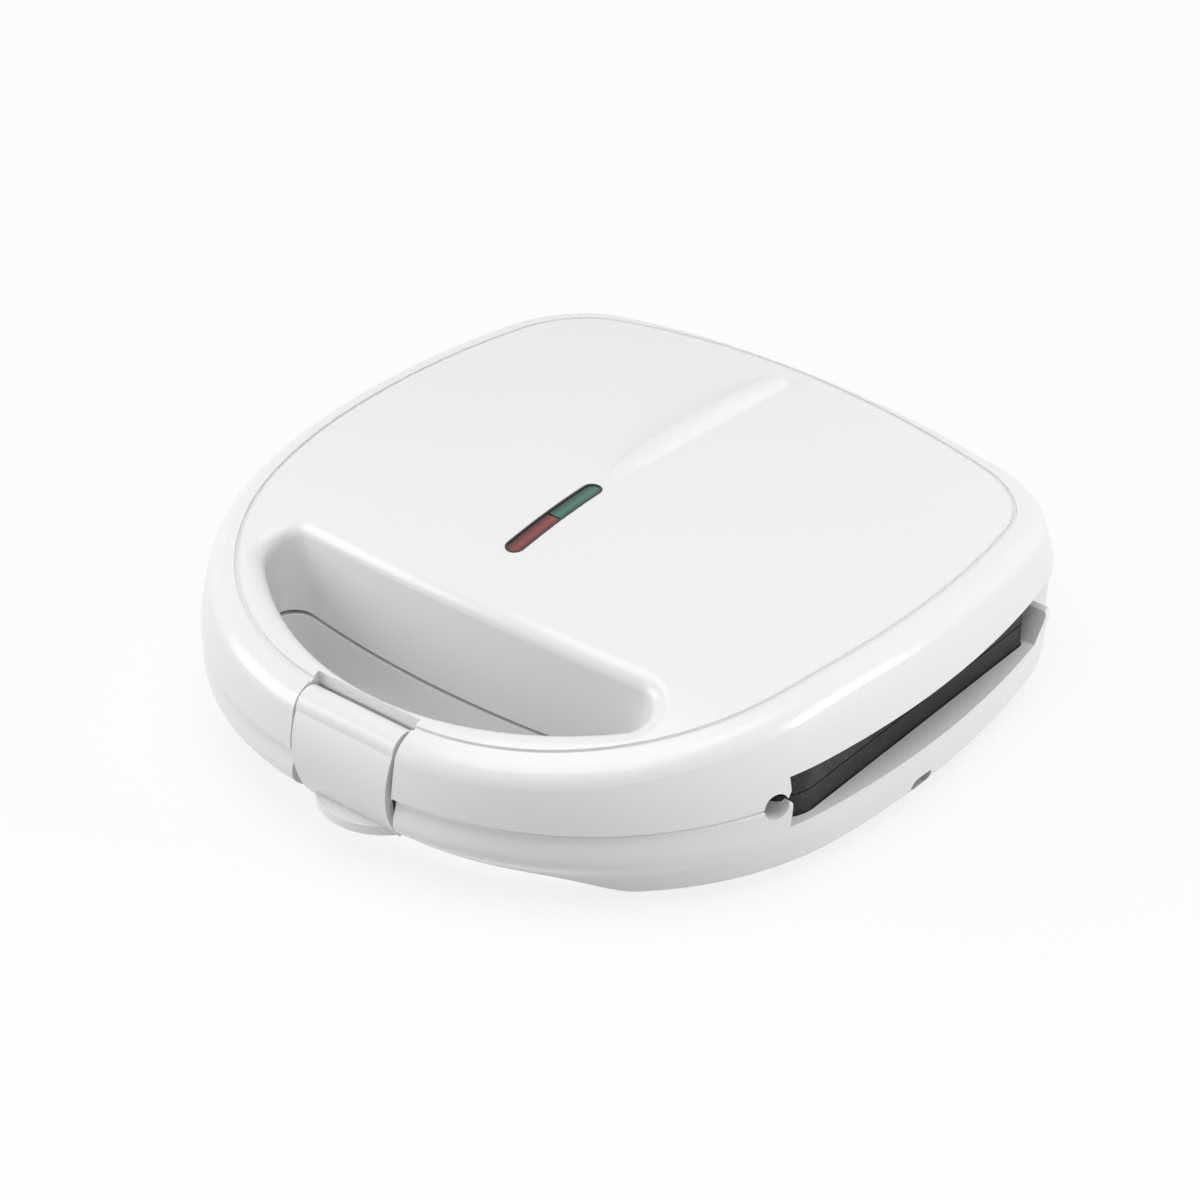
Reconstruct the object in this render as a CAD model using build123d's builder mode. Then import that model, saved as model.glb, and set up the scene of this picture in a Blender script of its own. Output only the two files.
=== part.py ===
from build123d import *
from math import atan2, degrees, hypot, sqrt
import os

# Donut maker: a hinged clamshell with two mould plates, a finger opening and a swinging latch.
# Millimetres, +Z up, front towards -Y, origin on the floor under the middle of the object.

# Plan outline shared by the lid and the base, made of tangent arcs
half_width = 111.0
widest_y = 18.8
side_radius = 288.5
front_y = -112.7
front_radius = 259.0
front_corner = 96.6
rear_y = 110.6
rear_radius = 856.0
rear_corner = 37.7

# Heights
base_z = 4.0
seam_z = 30.0
seam_gap = 0.3
base_lip, lid_lip = 0.8, 0.4
base_ledge_z = 21.2
lid_edge_z = 37.8
plate_gap = 0.4

# Walls of the housings: the lid's sides lean in as one arc, the base's sides tuck in below
wall = 2.5
lid_lean = 15.7
lid_widest_z = 25.6
lid_steps = (0, 0.15, 0.4, 0.7, 1)
base_tuck = 5.3
front_tuck = 7.5
base_steps = (0, 0.04, 0.12, 0.3, 0.5, 0.75, 1)
tray_steps = (0, 0.25, 0.5, 1)
bar_rise_start = -70.0
bar_rise_end = -98.0
bar_under_z = 11.7

# Crowned top of the lid, turned about two lines along X: a tight bow in front and a flat one behind
crown_top = 68.7
crown_y = -4.5
crown_front_bow = 252.7
crown_rear_bow = 794.0
crown_bow_x = 403.5
crown_front_sweep = 32.0
crown_rear_sweep = 10.0
rim_round = 7.5

# Step line round the top panel
panel_inset = 12.7
panel_front_gain = 3.4
groove_width = 1.5
groove_depth = 0.9

# Raised ridge behind the lamps: a round back that rises out of the top and ends bluntly at the rear
ridge_front, ridge_end = 4.5, 85.0
ridge_height, ridge_end_height = 3.2, 2.0
ridge_round = 4.5

# Finger opening through both halves, whose rear wall leans back as it rises
gap_radius = 99.0
gap_front_y = -95.6
gap_back_y = -65.2
gap_back_end_y = -50.2
gap_lean = 0.1
gap_corner = 7.0
gap_edge_round = 5.0
shadow_gap, shadow_depth = 1.2, 4.0

# Side openings: their front end in both halves, and the rear end in the base, which rises as a ramp.
# Behind them the base narrows to a neck that carries the hinge.
opening_front = -44.0
opening_rear = 76.5
neck_half = 92.0
tip_reach = 2.0
tip_height = 3.5

# Round hole on the parting line, placed by its bearing on the front corner, and a low side vent
eye_bearing = -20.0
eye_radius, eye_depth = 4.0, 16.0
vent_y, vent_z = 11.5, 7.6
vent_width, vent_height = 9.0, 4.4

# Mould plates with ring troughs
plate_side_margin = 8.5
plate_front_margin, plate_rear_margin = 1.0, 6.0
plate_front_corner, plate_rear_corner = 12.0, 3.0
plate_sheet = 2.5
plate_skirt = 2.2
lower_skirt = 9.5
upper_skirt = 11.0
plate_clear = 0.35
ring_columns, ring_rows = 3, 2
ring_edge_margin = 6.5
ring_pitch_y = 54.0
ring_mean, ring_half_width, ring_depth = 16.5, 8.0, 10.0
ring_draft = 1.4

# Countersunk screws that hold each plate on four bosses
screw_edge = 8.0
screw_head, screw_shank, screw_length = 3.4, 1.7, 14.0
screw_sink = 0.2
screw_clear = 0.15
boss_radius = 4.5

# Heating elements and heat shields
heater_radius = 3.0
heater_bend = 9.0
heater_end_x, heater_end_y = 12.0, 16.0
shield_sheet = 0.6
shield_drop, shield_clear = 1.0, 1.7
shield_margin_x, shield_margin_y = 15.0, 0.5
shield_post = 1.5

# Thermostat, thermal fuse and terminal block
edge_break = 0.7
thermostat_radius, thermostat_height = 8.0, 8.0
spade_width, spade_thick, spade_length = 4.0, 0.8, 4.0
fuse_radius, fuse_length = 2.2, 16.0
block_width, block_depth, block_height = 26.0, 12.0, 9.0
block_rear_margin = 24.0
block_ways, block_hole = 3, 2.2

# Lamp window: a capsule slot holding a bezel, two lenses, and a holder with two lamps below
slot_front, slot_rear = -39.7, 0.3
slot_width = 6.0
bezel_wall = 0.6
bezel_proud = 0.15
bezel_flange, bezel_flange_thick = 1.6, 1.2
lens_sink = 0.15
lens_gap = 0.6
lens_depth = 4.0
fit_clear = 0.05
holder_margin_x, holder_margin_y = 3.5, 5.0
holder_wall = 1.6
lamp_radius, lamp_length = 2.0, 14.0
lamp_tip_round = 1.6

# Hinge at the rear
hinge_inset = 1.0
lug_clear = 0.5
hinge_x = 60.0
lid_lug, base_lug, lug_gap = 12.0, 6.0, 0.4
lug_root, lug_block = 13.0, 5.0
hinge_pin_radius = 1.5
run_clear = 0.05
seat_clear = 0.02

# Latch clip, its pin and its pocket in the front bar
bar_wall = 3.3
barrel_radius = 5.2
barrel_sink = 0.3
latch_pin_radius = 1.5
latch_pin_seat = 3.4
clip_width, clip_foot_width = 35.2, 32.6
clip_thick = 3.0
clip_clear, barrel_clear = 0.5, 1.2
clip_side_gap = 1.0
clip_foot_z = 13.4
clip_toe = 6.2
tab_radius, tab_thick = 20.0, 3.0
latch_wall = 2.0

# Feet and cord gland
foot_x, foot_front_y, foot_rear_y = 72.0, -40.0, 78.0
foot_radius, foot_stem = 8.0, 2.5
gland_z = 13.0
gland_bore, gland_body, gland_flange = 3.6, 5.2, 7.2
gland_flange_thick = 2.2
gland_boss, gland_boss_length, gland_seat = 8.6, 8.0, 0.6
gland_corner = 1.5


def crown_height(y):
    """Height of the crowned top on the middle line."""
    bow = crown_front_bow if y < crown_y else crown_rear_bow
    return crown_top - bow + sqrt(bow**2 - (y - crown_y) ** 2)


# Derived places
lid_bottom = seam_z + seam_gap / 2
base_top = seam_z - seam_gap / 2
base_floor = base_z + wall
lower_shield_z = base_floor + shield_clear
lower_heater_z = lower_shield_z + shield_sheet + shield_drop + heater_radius
mating_z = lower_heater_z + heater_radius + plate_sheet + ring_depth + plate_gap / 2
lower_face = mating_z - plate_gap / 2
upper_face = mating_z + plate_gap / 2
tray_top = base_ledge_z - wall
tall = crown_top + seam_z
lid_rise = crown_top - lid_widest_z
lid_bow = (lid_rise**2 + lid_lean**2) / (2 * lid_lean)
beyond = 2 * half_width
plate_width = 2 * (half_width - plate_side_margin)
plate_front = opening_front - plate_front_margin
plate_rear = opening_rear - plate_rear_margin
plate_depth = plate_rear - plate_front
plate_y = (plate_front + plate_rear) / 2
ring_pitch_x = (plate_width - 2 * ring_edge_margin) / ring_columns
screw_x, screw_dy = ring_pitch_x / 2, plate_depth / 2 - screw_edge
screw_places = [(x, plate_y + dy) for x in (-screw_x, screw_x) for dy in (-screw_dy, screw_dy)]
slot_y = (slot_front + slot_rear) / 2
slot_length = slot_rear - slot_front
upper_heater_z = upper_face + ring_depth + plate_sheet + heater_radius
upper_shield_z = upper_heater_z + heater_radius + shield_drop
holder_bottom = upper_shield_z + shield_sheet + holder_wall
hinge_y, hinge_z = rear_y - hinge_inset, (lid_edge_z + base_top) / 2
knuckle_radius = (lid_edge_z - base_top) / 2 - lug_clear
pin_y = gap_front_y - bar_wall - clip_clear - barrel_radius
pin_z = crown_height(pin_y) - barrel_sink - barrel_radius
pocket_half = clip_width / 2 + clip_side_gap
pocket_y = front_y + clip_toe + clip_thick + clip_clear
latch_pin_length = 2 * (pocket_half + latch_pin_seat)
latch_block = latch_pin_length / 2 + latch_wall
gland_y = rear_y + gland_seat
tab_reach = gland_y + gland_flange_thick


# Plan outline

def corner_centre(c1, r1, c2, r2, r):
    """Centre of the round of radius r that touches two larger circles from inside, on the +X side."""
    d1 = r1 - r
    d2 = r2 - r
    span = hypot(c2[0] - c1[0], c2[1] - c1[1])
    along = (d1 * d1 - d2 * d2 + span * span) / (2 * span)
    across = sqrt(max(d1 * d1 - along * along, 0))
    ux, uy = (c2[0] - c1[0]) / span, (c2[1] - c1[1]) / span
    choices = [
        (c1[0] + ux * along - side * uy * across, c1[1] + uy * along + side * ux * across)
        for side in (1, -1)
    ]
    return max(choices)


def bearing(centre, point):
    """Direction from a centre to a point, in degrees from +X."""
    return degrees(atan2(point[1] - centre[1], point[0] - centre[0]))


def corner_centres(inset=0.0, front_gain=0.0):
    """Centres of the front and the side arcs, of the front corner and of the rear corner."""
    side_c = (half_width - side_radius, widest_y)
    front_c = (0, front_y - front_gain + front_radius)
    rear_c = (0, rear_y - rear_radius)
    side_r = side_radius - inset
    fore_c = corner_centre(side_c, side_r, front_c, front_radius - inset, front_corner - inset)
    aft_c = corner_centre(side_c, side_r, rear_c, rear_radius - inset, rear_corner - inset)
    return side_c, front_c, rear_c, fore_c, aft_c


def plan(inset, front_gain=0.0):
    """The outline moved inwards by inset, with its front edge front_gain nearer the front."""
    side_c, front_c, rear_c, fore_c, aft_c = corner_centres(inset, front_gain)
    start = -90.0
    fore_a = bearing(front_c, fore_c)
    fore_b = bearing(side_c, fore_c)
    aft_a = bearing(side_c, aft_c)
    aft_b = bearing(rear_c, aft_c)
    with BuildSketch() as shape:
        with BuildLine():
            CenterArc(front_c, front_radius - inset, start, fore_a - start)
            CenterArc(fore_c, front_corner - inset, fore_a, fore_b - fore_a)
            CenterArc(side_c, side_radius - inset, fore_b, aft_a - fore_b)
            CenterArc(aft_c, rear_corner - inset, aft_a, aft_b - aft_a)
            CenterArc(rear_c, rear_radius - inset, aft_b, -start - aft_b)
            mirror(about=Plane.YZ)
        make_face()
    return shape.sketch


def lofted(levels):
    """Solid through the plan outline at each (height, inset, front gain)."""
    with BuildPart() as form:
        for height, inset, front_gain in levels:
            with BuildSketch(Plane.XY.offset(height)):
                add(plan(inset, front_gain))
        loft()
    return form.part


def spread(bottom, top, steps):
    return [bottom + step * (top - bottom) for step in steps]


def lid_level(height, extra):
    """The lid's outline at a height, moved inwards by extra."""
    return height, lid_bow - sqrt(lid_bow**2 - (height - lid_widest_z) ** 2) + extra, 0.0


def base_level(height, extra):
    """The base's outline at a height, moved inwards by extra. The front bar tucks in further."""
    depth = min((seam_z - height) / (seam_z - base_z), 1)
    bar_depth = min((seam_z - height) / (seam_z - bar_under_z), 1)
    inset = base_tuck * (1 - sqrt(1 - depth**2))
    return height, inset + extra, -front_tuck * (1 - sqrt(1 - bar_depth**2))


def crown_part(drop, bow, sweep_angle):
    """One side of the space under the crowned top, turned about a line along X from the crown's apex."""
    axis_z = crown_top - bow
    apex = bow - drop
    foot = bow - crown_top
    reach = half_width + wall
    fall = crown_bow_x - sqrt(crown_bow_x**2 - reach**2)
    with BuildPart() as dome:
        with BuildSketch(Plane((0, crown_y, axis_z), x_dir=(1, 0, 0), z_dir=(0, -1, 0))):
            with BuildLine():
                ThreePointArc((-reach, apex - fall), (0, apex), (reach, apex - fall))
                Polyline((reach, apex - fall), (reach, foot), (-reach, foot), (-reach, apex - fall))
            make_face()
        revolve(axis=Axis((0, crown_y, axis_z), (1, 0, 0)), revolution_arc=sweep_angle)
    return dome.part


def under_crown(drop):
    """All that lies under the crowned top when that is lowered by drop."""
    with BuildPart() as whole:
        add(crown_part(drop, crown_front_bow, crown_front_sweep))
        add(crown_part(drop, crown_rear_bow, -crown_rear_sweep))
    return whole.part


def crescent(height, grow):
    """The finger opening's outline at a height, made larger by grow."""
    lean = gap_lean * (height - seam_z)
    end_y, middle_y = gap_back_end_y + lean, gap_back_y + lean
    far_y = gap_front_y + 2 * gap_radius
    with BuildSketch() as shape:
        with Locations((0, gap_front_y + gap_radius)):
            Circle(gap_radius)
        with BuildLine():
            ThreePointArc((-gap_radius, end_y), (0, middle_y), (gap_radius, end_y))
            Polyline((gap_radius, end_y), (gap_radius, far_y), (-gap_radius, far_y), (-gap_radius, end_y))
        make_face(mode=Mode.SUBTRACT)
        fillet(shape.vertices(), gap_corner)
        if grow:
            offset(amount=grow, mode=Mode.REPLACE)
    return shape.sketch


def finger_gap(grow):
    """The space of the finger opening from the floor to above the lid, made larger by grow."""
    with BuildPart() as block:
        for height in (0, tall):
            with BuildSketch(Plane.XY.offset(height)):
                add(crescent(height, grow))
        loft()
    return block.part


def slab_below(lift):
    """Everything under the base's underside, which rises towards the front bar, moved up by lift."""
    low, high = base_z + lift, bar_under_z + lift
    with BuildPart() as slab:
        with BuildSketch(Plane.YZ):
            with BuildLine():
                Line((-beyond, high), (bar_rise_end, high))
                Spline((bar_rise_end, high), (bar_rise_start, low), tangents=[(1, 0), (1, 0)])
                Polyline(
                    (bar_rise_start, low),
                    (beyond, low),
                    (beyond, -beyond),
                    (-beyond, -beyond),
                    (-beyond, high),
                )
            make_face()
        extrude(amount=beyond, both=True)
    return slab.part


def rear_corners(grow):
    """The room at both rear corners beside the base's neck, made larger by grow."""
    with BuildPart() as pair:
        with BuildSketch():
            for turn in (0, 1):
                with Locations(((1 - 2 * turn) * (neck_half - grow), opening_rear + wall - grow)):
                    Rectangle(beyond, beyond, align=(Align.MAX if turn else Align.MIN, Align.MIN))
        extrude(amount=tall)
    return pair.part


def plate_outline(inset):
    """A mould plate's outline about its own middle, moved inwards by inset."""
    with BuildSketch() as shape:
        Rectangle(plate_width - 2 * inset, plate_depth - 2 * inset)
        fillet(shape.vertices().group_by(Axis.Y)[0], plate_front_corner - inset)
        fillet(shape.vertices().group_by(Axis.Y)[-1], plate_rear_corner - inset)
    return shape.sketch


def plate_well(bottom, top):
    """The hole in a housing's deck that a mould plate passes through."""
    with BuildPart() as well:
        with BuildSketch(Plane.XY.offset(bottom)):
            with Locations((0, plate_y)):
                add(plate_outline(-plate_clear))
        extrude(amount=top - bottom)
    return well.part


def posts(radius, bottom, top):
    """Upright round posts at the four screw places."""
    with BuildPart() as group:
        with BuildSketch(Plane.XY.offset(bottom)):
            with Locations(screw_places):
                Circle(radius)
        extrude(amount=top - bottom)
    return group.part


def eyes():
    """The two round holes on the parting line."""
    centre = corner_centres()[3]
    with BuildPart() as pair:
        outward = Vector(1, 0, 0).rotate(Axis.Z, eye_bearing)
        with BuildSketch(Plane(Vector(*centre, seam_z) + outward * front_corner, z_dir=outward)):
            Circle(eye_radius)
        extrude(amount=eye_depth, both=True)
        mirror(about=Plane.YZ)
    return pair.part


def lug(middle_x, width, root_z):
    """One hinge lug: a knuckle joined to a small block that stands in its housing at root_z."""
    with BuildPart() as piece:
        with BuildSketch(Plane.YZ.offset(middle_x - width / 2)):
            with Locations((hinge_y, hinge_z)):
                Circle(knuckle_radius)
            with Locations((rear_y - lug_root, root_z)):
                Rectangle(lug_block, lug_block)
            make_hull()
        extrude(amount=width)
    return piece.part


def hinge_bore(radius):
    """A bore along the hinge line through both pairs of lugs."""
    with BuildPart() as bore:
        with BuildSketch(Plane.YZ):
            with Locations((hinge_y, hinge_z)):
                Circle(radius)
        extrude(amount=half_width, both=True)
    return bore.part


def capsule(width, length):
    """The lamp window's outline."""
    with BuildSketch() as shape:
        with Locations((0, slot_y)):
            SlotOverall(length, width, rotation=90)
    return shape.sketch


def top_layer(shape, upper, lower):
    """A plan shape given the thickness between two depths under the crowned top."""
    with BuildPart() as layer:
        with BuildSketch(Plane.XY.offset(base_z)):
            add(shape)
        extrude(amount=tall)
        add(under_crown(upper), mode=Mode.INTERSECT)
        if lower is not None:
            add(under_crown(lower), mode=Mode.SUBTRACT)
    return layer.part


# Upper housing

lid_heights = spread(lid_bottom, crown_top + rim_round, lid_steps)
lid_inner_heights = spread(lid_bottom + wall, crown_top, lid_steps)

with BuildPart() as ridge:
    ridge_middle = (ridge_front + ridge_end) / 2
    ridge_places = ((ridge_front, 0), (ridge_middle, ridge_height), (ridge_end, ridge_end_height))
    with BuildLine(Plane.YZ) as ridge_line:
        ThreePointArc(*[(y, crown_height(y) + rise - ridge_round) for y, rise in ridge_places])
    with BuildSketch(Plane(ridge_line.line @ 0, z_dir=ridge_line.line % 0)):
        Circle(ridge_round)
    sweep()
    with Locations(ridge_line.line @ 1):
        Sphere(ridge_round)

with BuildSketch() as groove_plan:
    add(plan(panel_inset, panel_front_gain))
    add(plan(panel_inset + groove_width, panel_front_gain), mode=Mode.SUBTRACT)

with BuildPart() as groove:
    add(top_layer(groove_plan.sketch, -rim_round, groove_depth))

with BuildPart() as lid_cavity:
    add(lofted([lid_level(height, wall) for height in lid_inner_heights]))
    add(under_crown(wall), mode=Mode.INTERSECT)
    add(finger_gap(wall), mode=Mode.SUBTRACT)
    with BuildSketch(Plane.XY):
        with Locations((0, opening_front - wall)):
            Rectangle(2 * beyond, beyond, align=(Align.CENTER, Align.MIN))
    extrude(amount=lid_edge_z + wall, mode=Mode.SUBTRACT)
    with BuildSketch(Plane.XY):
        with Locations((0, gap_front_y + wall)):
            Rectangle(2 * latch_block, beyond, align=(Align.CENTER, Align.MAX))
    extrude(amount=tall, mode=Mode.SUBTRACT)
    add(posts(boss_radius, 0, tall), mode=Mode.SUBTRACT)
    add(posts(boss_radius + shield_post, upper_shield_z + shield_sheet, tall), mode=Mode.SUBTRACT)

with BuildPart() as shadow:
    add(finger_gap(shadow_depth))
    with BuildSketch(Plane.XY.offset(lid_bottom - wall)):
        Rectangle(2 * beyond, 2 * beyond)
    extrude(amount=wall + shadow_gap, mode=Mode.INTERSECT)

with BuildPart() as upper_housing:
    add(lofted([lid_level(height, 0) for height in lid_heights]))
    add(under_crown(0), mode=Mode.INTERSECT)
    top_edges = upper_housing.faces().filter_by(GeomType.REVOLUTION).edges()
    fillet([edge for edge in top_edges if edge.bounding_box().size.Y > edge_break], rim_round)
    fillet(upper_housing.faces().sort_by(Axis.Z)[0].edges(), lid_lip)
    add(groove.part, mode=Mode.SUBTRACT)
    add(ridge.part)
    add(finger_gap(0), mode=Mode.SUBTRACT)
    cut_edges = upper_housing.edges(Select.LAST).sort_by(Axis.Y).sort_by(Axis.X)
    fillet([edge for edge in cut_edges if edge.bounding_box().min.Z > lid_edge_z], gap_edge_round)
    add(lid_cavity.part, mode=Mode.SUBTRACT)
    add(shadow.part, mode=Mode.SUBTRACT)
    with BuildSketch(Plane.YZ):
        with BuildLine():
            Polyline(
                (opening_front, lid_edge_z),
                (beyond, lid_edge_z),
                (beyond, 0),
                (opening_front - tip_reach, 0),
                (opening_front - tip_reach, seam_z),
                (opening_front, seam_z + tip_height),
                (opening_front, lid_edge_z),
            )
        make_face()
    extrude(amount=beyond, both=True, mode=Mode.SUBTRACT)
    add(plate_well(0, lid_edge_z + wall), mode=Mode.SUBTRACT)
    add(posts(boss_radius, upper_face + plate_sheet, lid_edge_z + 2 * wall))
    add(posts(screw_shank + seat_clear, 0, upper_face + screw_length + wall), mode=Mode.SUBTRACT)
    with BuildSketch():
        add(capsule(slot_width + 2 * fit_clear, slot_length + 2 * fit_clear))
    extrude(amount=tall, mode=Mode.SUBTRACT)
    with BuildSketch(Plane.YZ):
        with Locations((pin_y, pin_z)):
            Circle(barrel_radius + barrel_clear)
        with Locations((pocket_y, 0)):
            Rectangle(beyond, pin_z, align=(Align.MAX, Align.MIN))
        with Locations((pin_y + barrel_radius + clip_clear, pin_z)):
            Rectangle(beyond, tall, align=(Align.MAX, Align.MIN))
    extrude(amount=pocket_half, both=True, mode=Mode.SUBTRACT)
    with BuildSketch(Plane.YZ):
        with Locations((pin_y, pin_z)):
            Circle(latch_pin_radius + seat_clear)
    extrude(amount=latch_pin_length / 2, both=True, mode=Mode.SUBTRACT)
    for side in (-1, 1):
        add(lug(side * hinge_x, lid_lug, lid_edge_z + lug_block))
    add(hinge_bore(hinge_pin_radius + run_clear), mode=Mode.SUBTRACT)
    add(eyes(), mode=Mode.SUBTRACT)


# Lower housing

base_heights = spread(base_z, base_top, base_steps)
tray_heights = spread(base_floor, tray_top, tray_steps)
foot_places = [(x, y) for x in (-foot_x, foot_x) for y in (foot_front_y, foot_rear_y)]
base_lug_reach = (lid_lug + base_lug) / 2 + lug_gap

with BuildPart() as base_cavity:
    add(lofted([base_level(height, wall) for height in tray_heights]))
    add(rear_corners(wall), mode=Mode.SUBTRACT)
    add(slab_below(wall), mode=Mode.SUBTRACT)
    add(finger_gap(wall), mode=Mode.SUBTRACT)
    with BuildSketch(Plane.XY):
        with Locations((0, gap_front_y + wall)):
            Rectangle(2 * latch_block, beyond, align=(Align.CENTER, Align.MAX))
    extrude(amount=tall, mode=Mode.SUBTRACT)
    add(posts(boss_radius, 0, tall), mode=Mode.SUBTRACT)
    add(posts(boss_radius + shield_post, 0, lower_shield_z), mode=Mode.SUBTRACT)

with BuildPart() as lower_housing:
    add(lofted([base_level(height, 0) for height in base_heights]))
    fillet(lower_housing.faces().sort_by(Axis.Z)[-1].edges(), base_lip)
    add(rear_corners(0), mode=Mode.SUBTRACT)
    add(slab_below(0), mode=Mode.SUBTRACT)
    add(finger_gap(0), mode=Mode.SUBTRACT)
    add(base_cavity.part, mode=Mode.SUBTRACT)
    with BuildSketch(Plane.YZ):
        with BuildLine():
            Polyline(
                (opening_front, base_ledge_z),
                (plate_rear + plate_clear, base_ledge_z),
                (opening_rear, base_top),
                (opening_rear, tall),
                (opening_front, tall),
                close=True,
            )
        make_face()
    extrude(amount=beyond, both=True, mode=Mode.SUBTRACT)
    add(plate_well(tray_top - wall, tall), mode=Mode.SUBTRACT)
    add(posts(boss_radius, tray_top - wall, lower_face - plate_sheet))
    add(posts(screw_shank + seat_clear, lower_face - screw_length - wall / 2, tall), mode=Mode.SUBTRACT)
    with BuildSketch(Plane.XY):
        with Locations((0, pocket_y)):
            Rectangle(2 * pocket_half, beyond, align=(Align.CENTER, Align.MAX))
    extrude(amount=tall, mode=Mode.SUBTRACT)
    with BuildSketch(Plane.XY.offset(base_z)):
        with Locations(foot_places):
            Circle(foot_stem + fit_clear)
    extrude(amount=wall, mode=Mode.SUBTRACT)
    with BuildSketch(Plane.XZ.offset(-gland_y)):
        with Locations((0, gland_z)):
            RectangleRounded(2 * gland_boss, 2 * gland_boss, gland_corner)
    extrude(amount=gland_boss_length)
    with BuildSketch(Plane.XZ.offset(-gland_y)):
        with Locations((0, gland_z)):
            RectangleRounded(2 * (gland_body + fit_clear), 2 * (gland_body + fit_clear), gland_corner)
    extrude(amount=gland_boss_length, mode=Mode.SUBTRACT)
    with BuildSketch(Plane.YZ):
        with Locations((vent_y, vent_z)):
            SlotOverall(vent_width, vent_height)
    extrude(amount=beyond, both=True, mode=Mode.SUBTRACT)
    for side in (-1, 1):
        for shift in (-base_lug_reach, base_lug_reach):
            add(lug(side * hinge_x + shift, base_lug, tray_top))
    add(hinge_bore(hinge_pin_radius + seat_clear), mode=Mode.SUBTRACT)
    add(eyes(), mode=Mode.SUBTRACT)


# Mould plates, built with the moulding face at zero and the back below it

def ring_form(grow):
    """One ring trough's inside, made larger by grow."""
    half = ring_half_width + grow
    inner, outer = (ring_mean - half, 0), (ring_mean + half, 0)
    inner_turn = (ring_mean - half + ring_draft, -ring_depth / 2)
    outer_turn = (ring_mean + half - ring_draft, -ring_depth / 2)
    with BuildPart() as ring:
        with BuildSketch(Plane.XZ):
            with BuildLine():
                Polyline(inner_turn, inner, outer, outer_turn)
                ThreePointArc(outer_turn, (ring_mean, -ring_depth - grow), inner_turn)
            make_face()
        revolve(axis=Axis.Z)
    return ring.part


def screw_form(grow, rise):
    """A countersunk screw pointing down from zero, made larger by grow, its head carried up by rise."""
    head, shank = screw_head + grow, screw_shank + grow
    outline = [(head, 0), (shank, shank - head), (shank, -screw_length), (0, -screw_length), (0, rise)]
    if rise:
        outline.append((head, rise))
    with BuildPart() as screw:
        with BuildSketch(Plane.XZ):
            with BuildLine():
                Polyline(*outline, close=True)
            make_face()
        revolve(axis=Axis.Z)
    return screw.part


def mould_plate(skirt):
    """A sheet with a skirt and ring troughs."""
    with BuildPart() as plate:
        with BuildSketch():
            add(plate_outline(0))
        extrude(amount=-plate_sheet)
        with BuildSketch():
            add(plate_outline(0))
            add(plate_outline(plate_skirt), mode=Mode.SUBTRACT)
        extrude(amount=-skirt)
        with GridLocations(ring_pitch_x, ring_pitch_y, ring_columns, ring_rows):
            add(ring_form(plate_sheet))
        with GridLocations(ring_pitch_x, ring_pitch_y, ring_columns, ring_rows):
            add(ring_form(0), mode=Mode.SUBTRACT)
        with GridLocations(2 * screw_x, 2 * screw_dy, 2, 2):
            with Locations((0, 0, -screw_sink)):
                add(screw_form(screw_clear, plate_sheet), mode=Mode.SUBTRACT)
    return plate.part


with BuildPart() as lower_plate:
    with Locations((0, plate_y, lower_face)):
        add(mould_plate(lower_skirt))

with BuildPart() as upper_blank:
    with Locations((0, plate_y, -upper_face)):
        add(mould_plate(upper_skirt))

with BuildPart() as upper_plate:
    add(mirror(upper_blank.part, about=Plane.XY, mode=Mode.PRIVATE))


# Screws

with BuildPart() as lower_screws:
    with Locations(*[(x, y, lower_face - screw_sink) for x, y in screw_places]):
        add(screw_form(0, 0))

with BuildPart() as upper_screws:
    with Locations(*[(x, y, upper_face + screw_sink) for x, y in screw_places]):
        add(mirror(screw_form(0, 0), about=Plane.XY, mode=Mode.PRIVATE))


# Heating elements and heat shields

def heater(height):
    """Bent heating tube whose two ends lie side by side at the rear."""
    far_x, near_y, back_y = ring_pitch_x, plate_y - ring_pitch_y / 2, plate_y + ring_pitch_y / 2
    with BuildPart() as tube:
        with BuildLine(Plane.XY.offset(height)) as path:
            FilletPolyline(
                (heater_end_x, back_y + heater_end_y),
                (heater_end_x, back_y),
                (far_x, back_y),
                (far_x, near_y),
                (-far_x, near_y),
                (-far_x, back_y),
                (-heater_end_x, back_y),
                (-heater_end_x, back_y + heater_end_y),
                radius=heater_bend,
            )
        with BuildSketch(Plane(path.line @ 0, z_dir=path.line % 0)):
            Circle(heater_radius)
        sweep()
    return tube.part


def shield(height, level):
    """Flat sheet between a heating element and its housing's wall, with holes for the bosses."""
    with BuildPart() as sheet:
        with BuildSketch(Plane.XY.offset(height)):
            with Locations((0, plate_y)):
                RectangleRounded(
                    plate_width - 2 * shield_margin_x, plate_depth - 2 * shield_margin_y, plate_rear_corner
                )
            add(plan(*level[1:]), mode=Mode.INTERSECT)
            with Locations(screw_places):
                Circle(boss_radius + plate_clear, mode=Mode.SUBTRACT)
        extrude(amount=shield_sheet)
    return sheet.part


with BuildPart() as lower_heater:
    add(heater(lower_heater_z))

with BuildPart() as upper_heater:
    add(heater(upper_heater_z))

with BuildPart() as lower_shield:
    add(shield(lower_shield_z, base_level(lower_shield_z, wall + plate_clear)))

with BuildPart() as upper_shield:
    add(shield(upper_shield_z, lid_level(upper_shield_z + shield_sheet, wall + plate_clear)))
    add(under_crown(wall + plate_clear), mode=Mode.INTERSECT)


# Thermostat, thermal fuse and terminal block

plate_back = lower_face - plate_sheet
block_y = rear_y - block_rear_margin

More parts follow.
